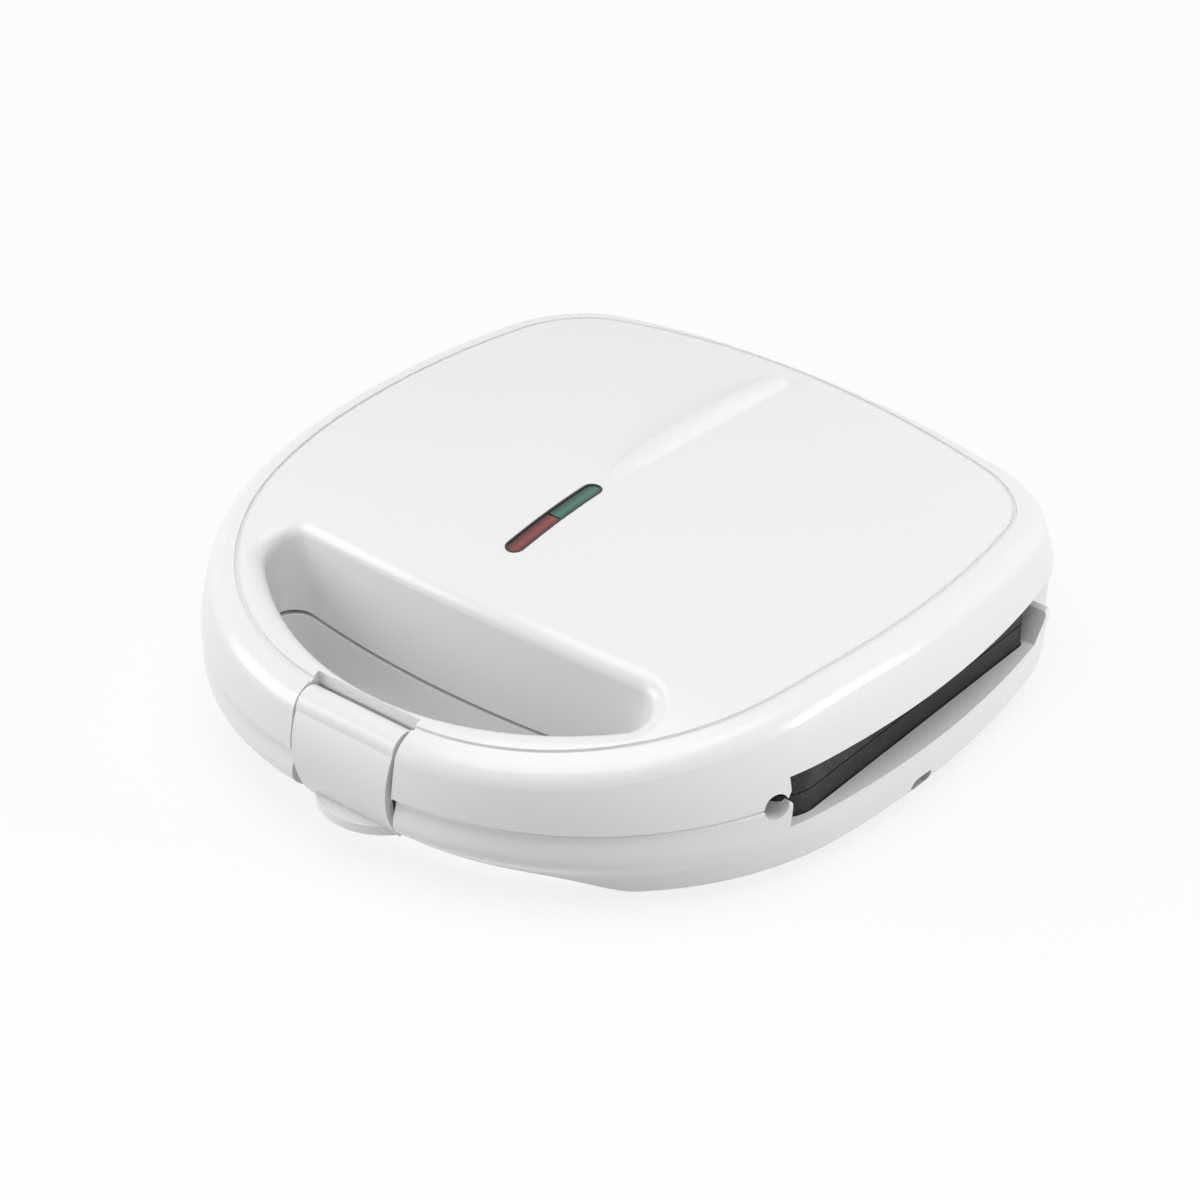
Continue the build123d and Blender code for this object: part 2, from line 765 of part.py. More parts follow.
with BuildPart() as thermostat:
    with BuildSketch(Plane.XY.offset(plate_back)):
        with Locations((screw_x, plate_y)):
            Circle(thermostat_radius)
    extrude(amount=-thermostat_height)
    chamfer(thermostat.faces().sort_by(Axis.Z)[0].edges(), edge_break)
    with BuildSketch(Plane.XY.offset(plate_back - thermostat_height)):
        with Locations((screw_x, plate_y)):
            with GridLocations(thermostat_radius, 0, 2, 1):
                Rectangle(spade_thick, spade_width)
    extrude(amount=-spade_length)

with BuildPart() as thermal_fuse:
    with BuildSketch(Plane.XZ.offset(-plate_y - fuse_length / 2)):
        with Locations((-screw_x, plate_back - fuse_radius)):
            Circle(fuse_radius)
    extrude(amount=fuse_length)
    chamfer(thermal_fuse.faces().filter_by(Axis.Y).edges(), edge_break)

with BuildPart() as terminal_block:
    with BuildSketch(Plane.XY.offset(base_floor)):
        with Locations((0, block_y)):
            Rectangle(block_width, block_depth)
    extrude(amount=block_height)
    with BuildSketch(Plane.XY.offset(base_floor + block_height)):
        with Locations((0, block_y)):
            with GridLocations(block_width / block_ways, 0, block_ways, 1):
                Circle(block_hole)
    extrude(amount=-block_height / 2, mode=Mode.SUBTRACT)


# Lamp window

with BuildSketch() as bezel_plan:
    add(capsule(slot_width, slot_length))
    add(capsule(slot_width - 2 * bezel_wall, slot_length - 2 * bezel_wall), mode=Mode.SUBTRACT)

with BuildSketch() as flange_plan:
    add(capsule(slot_width + 2 * bezel_flange, slot_length + 2 * bezel_flange))
    add(capsule(slot_width - 2 * bezel_wall, slot_length - 2 * bezel_wall), mode=Mode.SUBTRACT)

with BuildPart() as lamp_bezel:
    add(top_layer(bezel_plan.sketch, -bezel_proud, wall + bezel_flange_thick))
    add(top_layer(flange_plan.sketch, wall, wall + bezel_flange_thick))


def lens(side):
    """One half of the lamp window's inside: side -1 is the front half, 1 the rear half."""
    with BuildSketch() as half:
        rim = 2 * (bezel_wall + fit_clear)
        add(capsule(slot_width - rim, slot_length - rim))
        with Locations((0, slot_y - side * (slot_length - lens_gap) / 2)):
            Rectangle(slot_width, slot_length, mode=Mode.SUBTRACT)
    return top_layer(half.sketch, lens_sink, lens_depth)


with BuildPart() as red_lens:
    add(lens(-1))

with BuildPart() as green_lens:
    add(lens(1))

with BuildPart() as lamp_holder:
    with BuildSketch(Plane.XY.offset(holder_bottom)):
        with Locations((0, slot_y)):
            Rectangle(slot_width + 2 * holder_margin_x, slot_length + 2 * holder_margin_y)
    extrude(amount=tall)
    with BuildSketch(Plane.XY.offset(holder_bottom + holder_wall)):
        with Locations((0, slot_y)):
            Rectangle(
                slot_width + 2 * holder_margin_x - 2 * holder_wall,
                slot_length + 2 * holder_margin_y - 2 * holder_wall,
            )
    extrude(amount=tall, mode=Mode.SUBTRACT)
    add(under_crown(wall + bezel_flange_thick), mode=Mode.INTERSECT)


def lamp(side):
    """A small glow lamp lying in the holder under one lens."""
    middle = slot_y + side * slot_length / 4
    with BuildPart() as bulb:
        with BuildSketch(Plane.XZ.offset(-middle - lamp_length / 2)):
            with Locations((0, holder_bottom + holder_wall + lamp_radius)):
                Circle(lamp_radius)
        extrude(amount=lamp_length)
        fillet(bulb.faces().filter_by(Axis.Y).edges(), lamp_tip_round)
    return bulb.part


with BuildPart() as red_lamp:
    add(lamp(-1))

with BuildPart() as green_lamp:
    add(lamp(1))


# Hinge pins and latch

def hinge_pin(side):
    """The pin through one pair of hinge lugs."""
    length = lid_lug + 2 * lug_gap + 2 * base_lug
    with BuildPart() as pin:
        with BuildSketch(Plane.YZ.offset(side * hinge_x - length / 2)):
            with Locations((hinge_y, hinge_z)):
                Circle(hinge_pin_radius)
        extrude(amount=length)
    return pin.part


with BuildPart() as left_hinge_pin:
    add(hinge_pin(-1))

with BuildPart() as right_hinge_pin:
    add(hinge_pin(1))

with BuildPart() as latch_pin:
    with BuildSketch(Plane.YZ):
        with Locations((pin_y, pin_z)):
            Circle(latch_pin_radius)
    extrude(amount=latch_pin_length / 2, both=True)

clip_nose = (pin_y - barrel_radius, pin_z)
clip_belly = (front_y, seam_z)
clip_heel = (front_y + clip_toe, clip_foot_z)
clip_inner = [(y + clip_thick, z) for y, z in (clip_heel, clip_belly, clip_nose)]

with BuildPart() as latch_clip:
    with BuildSketch(Plane.YZ):
        with BuildLine():
            ThreePointArc(clip_nose, clip_belly, clip_heel)
            Line(clip_heel, clip_inner[0])
            ThreePointArc(*clip_inner)
            Line(clip_inner[-1], clip_nose)
        make_face()
        with Locations((pin_y, pin_z)):
            Circle(barrel_radius)
    extrude(amount=clip_width / 2, both=True)
    with BuildSketch(Plane.XZ):
        with BuildLine():
            Polyline(
                (-clip_width / 2, tall),
                (-clip_width / 2, pin_z),
                (-clip_foot_width / 2, clip_foot_z),
                (clip_foot_width / 2, clip_foot_z),
                (clip_width / 2, pin_z),
                (clip_width / 2, tall),
                close=True,
            )
        make_face()
    extrude(amount=beyond, mode=Mode.INTERSECT)
    with BuildSketch(Plane.XY.offset(clip_foot_z)):
        with Locations((0, tab_radius - tab_reach)):
            Circle(tab_radius)
        with Locations((0, front_y + clip_toe + clip_thick)):
            Rectangle(beyond, beyond, align=(Align.CENTER, Align.MIN), mode=Mode.SUBTRACT)
        Rectangle(clip_foot_width, beyond * 2, mode=Mode.INTERSECT)
    extrude(amount=tab_thick)
    with BuildSketch(Plane.YZ):
        with Locations((pin_y, pin_z)):
            Circle(latch_pin_radius + run_clear)
    extrude(amount=clip_width, both=True, mode=Mode.SUBTRACT)


# Feet and cord gland

def foot(x, y):
    """A round rubber pad with a stem that plugs into the base."""
    with BuildPart() as pad:
        with BuildSketch():
            with Locations((x, y)):
                Circle(foot_radius)
        extrude(amount=base_z)
        chamfer(pad.faces().sort_by(Axis.Z)[0].edges(), edge_break)
        with BuildSketch(Plane.XY.offset(base_z)):
            with Locations((x, y)):
                Circle(foot_stem)
        extrude(amount=wall)
    return pad.part


with BuildPart() as cord_gland:
    with BuildSketch(Plane.XZ.offset(-gland_y)):
        with Locations((0, gland_z)):
            RectangleRounded(2 * gland_body, 2 * gland_body, gland_corner)
    extrude(amount=gland_boss_length + gland_flange_thick)
    with BuildSketch(Plane.XZ.offset(-gland_y)):
        with Locations((0, gland_z)):
            Circle(gland_flange)
    extrude(amount=-gland_flange_thick)
    with BuildSketch(Plane.XZ.offset(-gland_y - gland_flange_thick)):
        with Locations((0, gland_z)):
            Circle(gland_bore)
    extrude(amount=gland_boss_length + 2 * gland_flange_thick, mode=Mode.SUBTRACT)


# Export: one file for each piece

pieces = {
    "upper_housing": upper_housing.part,
    "lower_housing": lower_housing.part,
    "upper_plate": upper_plate.part,
    "lower_plate": lower_plate.part,
    "upper_plate_screws": upper_screws.part,
    "lower_plate_screws": lower_screws.part,
    "upper_heating_element": upper_heater.part,
    "lower_heating_element": lower_heater.part,
    "upper_heat_shield": upper_shield.part,
    "lower_heat_shield": lower_shield.part,
    "thermostat": thermostat.part,
    "thermal_fuse": thermal_fuse.part,
    "terminal_block": terminal_block.part,
    "lamp_bezel": lamp_bezel.part,
    "red_lens": red_lens.part,
    "green_lens": green_lens.part,
    "lamp_holder": lamp_holder.part,
    "red_lamp": red_lamp.part,
    "green_lamp": green_lamp.part,
    "left_hinge_pin": left_hinge_pin.part,
    "right_hinge_pin": right_hinge_pin.part,
    "latch_pin": latch_pin.part,
    "latch_clip": latch_clip.part,
    "front_left_foot": foot(-foot_x, foot_front_y),
    "front_right_foot": foot(foot_x, foot_front_y),
    "rear_left_foot": foot(-foot_x, foot_rear_y),
    "rear_right_foot": foot(foot_x, foot_rear_y),
    "cord_gland": cord_gland.part,
}

os.makedirs("parts", exist_ok=True)
for name, piece in pieces.items():
    piece.label = name
    export_step(piece, f"parts/{name}.step")
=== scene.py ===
# %% [markdown]
# The object is a small white appliance that bakes ring-shaped dough between two hinged mould plates.
# Its construction is already finished and packed, so this lesson starts by loading it as a fixed frame.
# Each imported node keeps its place in its own mesh, and what is added here rides on one of its bodies.
# A helper reads the box of an imported node from its mesh. The finished looks have to stay inside it.

# %% Load the imported model
import math

import bpy
from mathutils import Matrix, Vector


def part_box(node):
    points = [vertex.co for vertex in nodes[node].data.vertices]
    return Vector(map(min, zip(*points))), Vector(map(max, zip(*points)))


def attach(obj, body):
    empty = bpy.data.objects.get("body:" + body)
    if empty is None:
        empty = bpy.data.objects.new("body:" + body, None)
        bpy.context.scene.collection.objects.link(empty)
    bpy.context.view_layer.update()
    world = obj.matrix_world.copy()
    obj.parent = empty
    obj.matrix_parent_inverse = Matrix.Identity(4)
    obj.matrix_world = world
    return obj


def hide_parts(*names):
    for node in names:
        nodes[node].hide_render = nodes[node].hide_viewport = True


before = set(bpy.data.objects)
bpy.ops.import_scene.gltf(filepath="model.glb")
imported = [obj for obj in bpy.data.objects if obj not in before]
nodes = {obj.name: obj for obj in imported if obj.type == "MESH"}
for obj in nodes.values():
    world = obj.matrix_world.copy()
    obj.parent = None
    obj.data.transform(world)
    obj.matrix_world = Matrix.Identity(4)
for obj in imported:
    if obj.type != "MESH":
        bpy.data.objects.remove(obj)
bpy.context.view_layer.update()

# %% [markdown]
# The camera stands where the photograph was taken: off the front right corner, looking down.
# The direction is an azimuth from the front and an elevation above the floor.
# The distance and the lens were found together, because a close camera with a short lens makes the
# near corner of the lid swell. The square picture fixes the lens through the width of the sensor.

# %% Camera at the photograph's viewing angle
CAMERA_AZIMUTH = math.radians(39.01)
CAMERA_ELEVATION = math.radians(33.74)
CAMERA_DISTANCE = 1.14777
CAMERA_TARGET = Vector((0.0, 0.0, 0.030))
CAMERA_SLIDE_RIGHT = 0.00062
CAMERA_SLIDE_UP = -0.00056
SENSOR_WIDTH = 36.0
PIXELS_ACROSS = 1200
FOCAL_PIXELS = 3933.7
CAMERA_CLIP = (0.01, 100.0)


def photo_camera():
    """A camera that looks at the object as the photograph does."""
    flat = math.cos(CAMERA_ELEVATION)
    right = Vector((math.cos(CAMERA_AZIMUTH), math.sin(CAMERA_AZIMUTH), 0.0))
    back = Vector((right.y * flat, -right.x * flat, math.sin(CAMERA_ELEVATION)))
    up = back.cross(right)
    data = bpy.data.cameras.new("photo_camera")
    data.sensor_width = SENSOR_WIDTH
    data.lens = SENSOR_WIDTH * FOCAL_PIXELS / PIXELS_ACROSS
    data.clip_start, data.clip_end = CAMERA_CLIP
    camera = bpy.data.objects.new("photo_camera", data)
    place = CAMERA_TARGET + back * CAMERA_DISTANCE + right * CAMERA_SLIDE_RIGHT + up * CAMERA_SLIDE_UP
    turn = Matrix((right, up, back)).transposed().to_4x4()
    camera.matrix_world = Matrix.Translation(place) @ turn
    bpy.context.scene.collection.objects.link(camera)
    bpy.context.scene.camera = camera
    return camera


camera = photo_camera()
camera_place = tuple(round(v, 4) for v in camera.matrix_world.translation)
print("lens", round(camera.data.lens, 2), "at", camera_place)

# %% [markdown]
# Node trees are long to write out one socket at a time, so a few helpers come first. They make an empty
# material, add a node with its values, and tell whether a ray comes from the camera or a reflection.
# A Mix node has a set of sockets for each kind of value, so its colour sockets are picked by number.

# %% Node helpers
MIX_FIRST, MIX_SECOND, MIX_RESULT = 6, 7, 2


def new_material(name):
    """An empty material with its node tree and output node."""
    material = bpy.data.materials.new(name)
    material.use_nodes = True
    tree = material.node_tree
    tree.nodes.clear()
    return material, tree, tree.nodes.new("ShaderNodeOutputMaterial")


def add_node(tree, kind, settings=None, **inputs):
    """A node with its settings and with its input sockets set by name."""
    node = tree.nodes.new(kind)
    for name, value in (settings or {}).items():
        setattr(node, name, value)
    for name, value in inputs.items():
        node.inputs[name.replace("_", " ")].default_value = value
    return node


def two_tones(tree, factor, dark, light):
    """A colour between two tones by a factor."""
    mix = add_node(tree, "ShaderNodeMix", {"data_type": "RGBA"})
    mix.inputs[MIX_FIRST].default_value = (*dark, 1)
    mix.inputs[MIX_SECOND].default_value = (*light, 1)
    tree.links.new(factor, mix.inputs[0])
    return mix.outputs[MIX_RESULT]


def seen_directly(tree):
    """One where a ray comes from the camera, a reflection or a clear material, and zero elsewhere."""
    path = tree.nodes.new("ShaderNodeLightPath")
    mirror = add_node(tree, "ShaderNodeMath", {"operation": "MAXIMUM"})
    tree.links.new(path.outputs["Is Camera Ray"], mirror.inputs[0])
    tree.links.new(path.outputs["Is Glossy Ray"], mirror.inputs[1])
    clear = add_node(tree, "ShaderNodeMath", {"operation": "MAXIMUM"})
    tree.links.new(mirror.outputs[0], clear.inputs[0])
    tree.links.new(path.outputs["Is Transmission Ray"], clear.inputs[1])
    return clear.outputs[0]


# %% [markdown]
# The photograph is a cut-out on plain white, so the world is white to the camera and in reflections.
# The light that it sheds on the object is a separate, lower level, and white plastic keeps its shading.

# %% White world
WHITE = (1, 1, 1, 1)
WORLD_LIGHT = 0.31
scene = bpy.context.scene
scene.view_settings.view_transform = "Standard"


def white_world():
    """A world that looks white and lights the object evenly at a lower level."""
    world = bpy.data.worlds.new("white_room")
    world.use_nodes = True
    tree = world.node_tree
    tree.nodes.clear()
    output = tree.nodes.new("ShaderNodeOutputWorld")
    even = add_node(tree, "ShaderNodeBackground", Color=WHITE, Strength=WORLD_LIGHT)
    white = add_node(tree, "ShaderNodeBackground", Color=WHITE, Strength=1.0)
    mix = tree.nodes.new("ShaderNodeMixShader")
    tree.links.new(seen_directly(tree), mix.inputs[0])
    tree.links.new(even.outputs[0], mix.inputs[1])
    tree.links.new(white.outputs[0], mix.inputs[2])
    tree.links.new(mix.outputs[0], output.inputs[0])
    scene.world = world


white_world()
print("world light", WORLD_LIGHT)

# %% [markdown]
# The floor is a pale sheet that still takes the object's soft shadow. Seen directly it is mostly a
# plain glow, and the rest is paper, which the shadow darkens. Away from the object the glow takes over,
# so that the sheet ends in plain white. To the light that bounces off it the paper is a darker grey,
# because the photograph's front wall gets little light from below.

# %% Pale floor
FLOOR_HALF = 4.0
FLOOR_GLOW = 0.82
GLOW_ALONE = 1.00
SHADOW_REACH = (0.30, 0.80)
PAPER_BOUNCE = 0.60
PAPER_SEEN = 0.90


def pale_floor():
    """A wide sheet at the feet's level, bright to the camera but still shaded by the object."""
    corners = [(x * FLOOR_HALF, y * FLOOR_HALF, 0) for x, y in ((-1, -1), (1, -1), (1, 1), (-1, 1))]
    mesh = bpy.data.meshes.new("pale_floor")
    mesh.from_pydata(corners, [], [(0, 1, 2, 3)])
    floor = bpy.data.objects.new("pale_floor", mesh)
    scene.collection.objects.link(floor)
    material, tree, output = new_material("pale_floor")
    seen = seen_directly(tree)
    paper = tree.nodes.new("ShaderNodeBsdfDiffuse")
    paper_grey = two_tones(tree, seen, (PAPER_BOUNCE,) * 3, (PAPER_SEEN,) * 3)
    tree.links.new(paper_grey, paper.inputs["Color"])
    glow = add_node(tree, "ShaderNodeEmission", Color=WHITE, Strength=1.0)
    away = add_node(tree, "ShaderNodeVectorMath", {"operation": "LENGTH"})
    tree.links.new(tree.nodes.new("ShaderNodeTexCoord").outputs["Object"], away.inputs[0])
    near, far = SHADOW_REACH
    fade = add_node(
        tree, "ShaderNodeMapRange", From_Min=near, From_Max=far, To_Min=FLOOR_GLOW, To_Max=GLOW_ALONE,
    )
    tree.links.new(away.outputs["Value"], fade.inputs["Value"])
    share = add_node(tree, "ShaderNodeMath", {"operation": "MULTIPLY"})
    tree.links.new(seen, share.inputs[0])
    tree.links.new(fade.outputs["Result"], share.inputs[1])
    mix = tree.nodes.new("ShaderNodeMixShader")
    tree.links.new(share.outputs[0], mix.inputs[0])
    tree.links.new(paper.outputs[0], mix.inputs[1])
    tree.links.new(glow.outputs[0], mix.inputs[2])
    tree.links.new(mix.outputs[0], output.inputs[0])
    mesh.materials.append(material)
    return floor


print("floor half side", pale_floor().data.vertices[2].co.x)

# %% [markdown]
# In the photograph the lid's middle is brightest, the front wall falls to a light grey because nothing
# lights it from the camera's side, and the right front corner carries a highlight. That is a wide soft
# box overhead, a wide one on the left and a small strong one on the right. Area lights are used because
# their size alone decides how soft an edge looks and how sharp its reflection is.

# %% Soft boxes
SOFT_BOXES = (
    ("overhead_box", (0.06, -0.20, 1.30), 1.2, 10.8),
    ("left_box", (-1.06, -0.82, 0.46), 0.9, 7.8),
    ("right_box", (1.20, 0.54, 0.36), 0.55, 7.8),
)


def soft_box(name, place, size, power):
    """A square area light turned towards the middle of the object."""
    data = bpy.data.lights.new(name, "AREA")
    data.shape = "SQUARE"
    data.size = size
    data.energy = power
    light = bpy.data.objects.new(name, data)
    aim = CAMERA_TARGET - Vector(place)
    turn = aim.to_track_quat("-Z", "Y").to_matrix().to_4x4()
    light.matrix_world = Matrix.Translation(place) @ turn
    scene.collection.objects.link(light)
    return light


for box_name, box_place, box_size, box_power in SOFT_BOXES:
    soft_box(box_name, box_place, box_size, box_power)
print("soft boxes", [name for name, _, _, _ in SOFT_BOXES])

# %% [markdown]
# Every finish is a node tree on Object coordinates, so a pattern keeps its real size on every piece.
# One helper makes what they share: a noise that varies the colour a little between two tones, a second
# one that varies the gloss, and a fine bump. The values that stay the same all over sit on the shader.

# %% A shared recipe for moulded and coated surfaces
NOISE_MIDDLE = (0.3, 0.7)
TONE_DETAIL, GRAIN_DETAIL = 3.0, 2.0
GLOSS_FINENESS = 2.3


def noise_between(tree, coords, scale, low, high, detail=TONE_DETAIL, stretch=None):
    """A noise over Object coordinates, mapped so that its middle range runs from low to high."""
    if stretch:
        mapping = add_node(tree, "ShaderNodeMapping", Scale=stretch)
        tree.links.new(coords, mapping.inputs["Vector"])
        coords = mapping.outputs["Vector"]
    noise = add_node(tree, "ShaderNodeTexNoise", Scale=scale, Detail=detail)
    tree.links.new(coords, noise.inputs["Vector"])
    start, end = NOISE_MIDDLE
    spread = add_node(tree, "ShaderNodeMapRange", From_Min=start, From_Max=end, To_Min=low, To_Max=high)
    tree.links.new(noise.outputs["Fac"], spread.inputs["Value"])
    return spread.outputs["Result"]


def surface(name, dark, light, gloss, tone_scale, grain_scale, grain_height, stretch=None, **shader):
    """A finish: two tones, roughness between the two values of gloss, and a fine grain."""
    material, tree, output = new_material(name)
    coords = tree.nodes.new("ShaderNodeTexCoord").outputs["Object"]
    skin = add_node(tree, "ShaderNodeBsdfPrincipled", **shader)
    tone = noise_between(tree, coords, tone_scale, 0.0, 1.0, stretch=stretch)
    tree.links.new(two_tones(tree, tone, dark, light), skin.inputs["Base Color"])
    rough = noise_between(tree, coords, tone_scale * GLOSS_FINENESS, *gloss, stretch=stretch)
    tree.links.new(rough, skin.inputs["Roughness"])
    grain = noise_between(tree, coords, grain_scale, 0.0, 1.0, detail=GRAIN_DETAIL, stretch=stretch)
    bump = add_node(tree, "ShaderNodeBump", Strength=1.0, Distance=grain_height)
    tree.links.new(grain, bump.inputs["Height"])
    tree.links.new(bump.outputs["Normal"], skin.inputs["Normal"])
    tree.links.new(skin.outputs[0], output.inputs[0])
    return material


# %% [markdown]
# The housings and the latch clip are injection moulded in white plastic from a polished mould. The tone
# hardly varies, the gloss a little, and the grain is far too fine to see except in a highlight's edge.

# %% White moulded plastic
white_plastic = surface(
    "white_moulding", (0.828, 0.828, 0.826), (0.838, 0.838, 0.836), (0.20, 0.23),
    tone_scale=7.0, grain_scale=900.0, grain_height=0.000002, IOR=1.5,
)
print("white plastic nodes", len(white_plastic.node_tree.nodes))

# %% [markdown]
# The mould plates are cast aluminium under a dark non-stick coating. The coating shows fine, faint
# specks, so a cell pattern picks a few small cells and lifts their colour a little.

# %% Non-stick coating with specks
SPECKS_PER_METRE = 1400.0
SPECK_RARITY = 0.94
SPECK_GREY = 0.045


def speckled_coating(name):
    """A dark coating with scattered pale specks."""
    material = surface(
        name, (0.010, 0.010, 0.011), (0.018, 0.018, 0.019), (0.34, 0.46),
        tone_scale=60.0, grain_scale=1500.0, grain_height=0.00001, Specular_IOR_Level=0.3,
    )
    tree = material.node_tree
    skin = tree.nodes["Principled BSDF"]
    coords = tree.nodes["Texture Coordinate"].outputs["Object"]
    cells = add_node(tree, "ShaderNodeTexVoronoi", Scale=SPECKS_PER_METRE)
    tree.links.new(coords, cells.inputs["Vector"])
    chosen = add_node(tree, "ShaderNodeMath", {"operation": "GREATER_THAN"})
    chosen.inputs[1].default_value = SPECK_RARITY
    split = tree.nodes.new("ShaderNodeSeparateColor")
    tree.links.new(cells.outputs["Color"], split.inputs["Color"])
    tree.links.new(split.outputs["Red"], chosen.inputs[0])
    base = skin.inputs["Base Color"].links[0].from_socket
    mix = add_node(tree, "ShaderNodeMix", {"data_type": "RGBA"})
    mix.inputs[MIX_SECOND].default_value = (SPECK_GREY, SPECK_GREY, SPECK_GREY, 1)
    tree.links.new(chosen.outputs[0], mix.inputs[0])
    tree.links.new(base, mix.inputs[MIX_FIRST])
    tree.links.new(mix.outputs[MIX_RESULT], skin.inputs["Base Color"])
    return material


plate_coating = speckled_coating("plate_coating")
print("coating specks per metre", SPECKS_PER_METRE)

# %% [markdown]
# Three metals lie inside: drawn steel in the pins, screws and fuse can, a heat-stained steel sheath on
# the heating tubes, and rolled sheet in the heat shields. A noise stretched along X gives the drawn and
# the rolled metal their lengthwise streaks.

# %% Metals inside
pin_steel = surface(
    "pin_steel", (0.50, 0.50, 0.51), (0.62, 0.62, 0.63), (0.22, 0.36),
    tone_scale=40.0, grain_scale=500.0, grain_height=0.000006, stretch=(0.15, 1, 1), Metallic=1.0,
)
heater_steel = surface(
    "heater_steel", (0.20, 0.17, 0.15), (0.38, 0.35, 0.33), (0.38, 0.52),
    tone_scale=30.0, grain_scale=700.0, grain_height=0.00001, Metallic=1.0,
)
shield_sheet = surface(
    "shield_sheet", (0.66, 0.66, 0.67), (0.76, 0.76, 0.77), (0.28, 0.42),
    tone_scale=25.0, grain_scale=260.0, grain_height=0.000008, stretch=(0.06, 1, 1), Metallic=1.0,
)
print("metals", [metal.name for metal in (pin_steel, heater_steel, shield_sheet)])

# %% [markdown]
# The parts that carry current and the lamp window's frame are dark heat-proof plastic with a slight
# sheen. The feet are rubber, which is duller and rougher to the touch, so their grain is much higher.

# %% Dark plastic and rubber
dark_plastic = surface(
    "dark_moulding", (0.016, 0.016, 0.017), (0.026, 0.026, 0.027), (0.34, 0.46),
    tone_scale=50.0, grain_scale=1100.0, grain_height=0.00001,
)
foot_rubber = surface(
    "foot_rubber", (0.020, 0.020, 0.020), (0.034, 0.034, 0.034), (0.66, 0.82),
    tone_scale=90.0, grain_scale=1600.0, grain_height=0.00003,
)
print("dark finishes", dark_plastic.name, foot_rubber.name)

# %% [markdown]
# The two lamp windows are tinted clear plastic over unlit lamps. They look like a dull red and a dull
# green. A paler band of painted light runs to the right of the middle, where the frame's wall shades
# them less, and the deeper tint at the sides is painted shade. Fine cross ribs on the underside scatter
# the light. The ribs are a wave along the slot, so the painted band and the ribs follow the piece and not
# the camera.

# %% Tinted lenses and lamp glass
PAINTED_LIGHT_SHIFT = 0.0006
PAINTED_LIGHT_HALF = (0.0003, 0.0026)
LENS_ROUGHNESS, LENS_IOR = 0.16, 1.49
RIB_SCALE, RIB_STRENGTH, RIB_HEIGHT = 260.0, 0.35, 0.00004


def tinted_lens(name, deep, pale):
    """Tinted plastic with a paler band of painted light along it, painted shade at its sides, and fine
    cross ribs.
    """
    material, tree, output = new_material(name)
    coords = tree.nodes.new("ShaderNodeTexCoord").outputs["Object"]
    split = tree.nodes.new("ShaderNodeSeparateXYZ")
    tree.links.new(coords, split.inputs[0])
    # Painted shade: the band of painted light sits off the middle, because the frame's wall shades one
    # side more.
    beside = add_node(tree, "ShaderNodeMath", {"operation": "SUBTRACT"})
    beside.inputs[1].default_value = PAINTED_LIGHT_SHIFT
    tree.links.new(split.outputs["X"], beside.inputs[0])
    away = add_node(tree, "ShaderNodeMath", {"operation": "ABSOLUTE"})
    tree.links.new(beside.outputs[0], away.inputs[0])
    # Painted light in the middle of the lens fades to painted shade towards its sides.
    painted_light_end, painted_shade_start = PAINTED_LIGHT_HALF
    painted_light_streak = add_node(
        tree, "ShaderNodeMapRange", From_Min=painted_light_end, From_Max=painted_shade_start, To_Min=1.0, To_Max=0.0,
    )
    tree.links.new(away.outputs[0], painted_light_streak.inputs["Value"])
    skin = add_node(tree, "ShaderNodeBsdfPrincipled", Roughness=LENS_ROUGHNESS, IOR=LENS_IOR)
    tree.links.new(two_tones(tree, painted_light_streak.outputs["Result"], deep, pale), skin.inputs["Base Color"])
    ribs = add_node(tree, "ShaderNodeTexWave", {"bands_direction": "Y"}, Scale=RIB_SCALE)
    tree.links.new(coords, ribs.inputs["Vector"])
    bump = add_node(tree, "ShaderNodeBump", Strength=RIB_STRENGTH, Distance=RIB_HEIGHT)
    tree.links.new(ribs.outputs["Fac"], bump.inputs["Height"])
    tree.links.new(bump.outputs["Normal"], skin.inputs["Normal"])
    tree.links.new(skin.outputs[0], output.inputs[0])
    return material


# Each lens's first tone is the painted shade at its sides, and its second is the painted light of its
# band.
red_lens = tinted_lens("red_lens", (0.045, 0.009, 0.009), (0.250, 0.046, 0.042))
green_lens = tinted_lens("green_lens", (0.005, 0.034, 0.025), (0.042, 0.172, 0.120))
lamp_glass = surface(
    "lamp_glass", (0.75, 0.66, 0.50), (0.85, 0.78, 0.66), (0.05, 0.12),
    tone_scale=120.0, grain_scale=400.0, grain_height=0.000004,
)
print("lenses", red_lens.name, green_lens.name)

# %% [markdown]
# Four countersunk screws hold each mould plate, and their heads show when the lid is open. One tree
# makes them all: a cone for the head, a cylinder for the shank, and a cross cut out of the head's top.
# It is instanced on four points, and each screw is turned by a seeded amount, as a fitter leaves it.
# The points and the head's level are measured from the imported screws, so the new ones stand in their
# place.

# %% Geometry Nodes tree for the plate screws
SCREW_SIZES = {
    "Head radius": 0.0034, "Shank radius": 0.0017, "Length": 0.014,
    "Recess width": 0.0009, "Recess span": 0.0038, "Recess depth": 0.0013,
}
SCREW_SIDES = 40
SCREW_OVERLAP = 0.0003
TURN_SEED = 7
RANDOM_LEAST, RANDOM_MOST, RANDOM_RESULT = 2, 3, 1


def join_nodes(tree, source, target, name=0):
    """Links a node's first output, or a socket, to an input of the target node."""
    tree.links.new(getattr(source, "outputs", [source])[0], target.inputs[name])


def maths(tree, operation, *terms):
    """The output of a math node whose terms are numbers or sockets."""
    node = add_node(tree, "ShaderNodeMath", {"operation": operation})
    for place, term in enumerate(terms):
        if isinstance(term, (int, float)):
            node.inputs[place].default_value = term
        else:
            tree.links.new(term, node.inputs[place])
    return node.outputs[0]


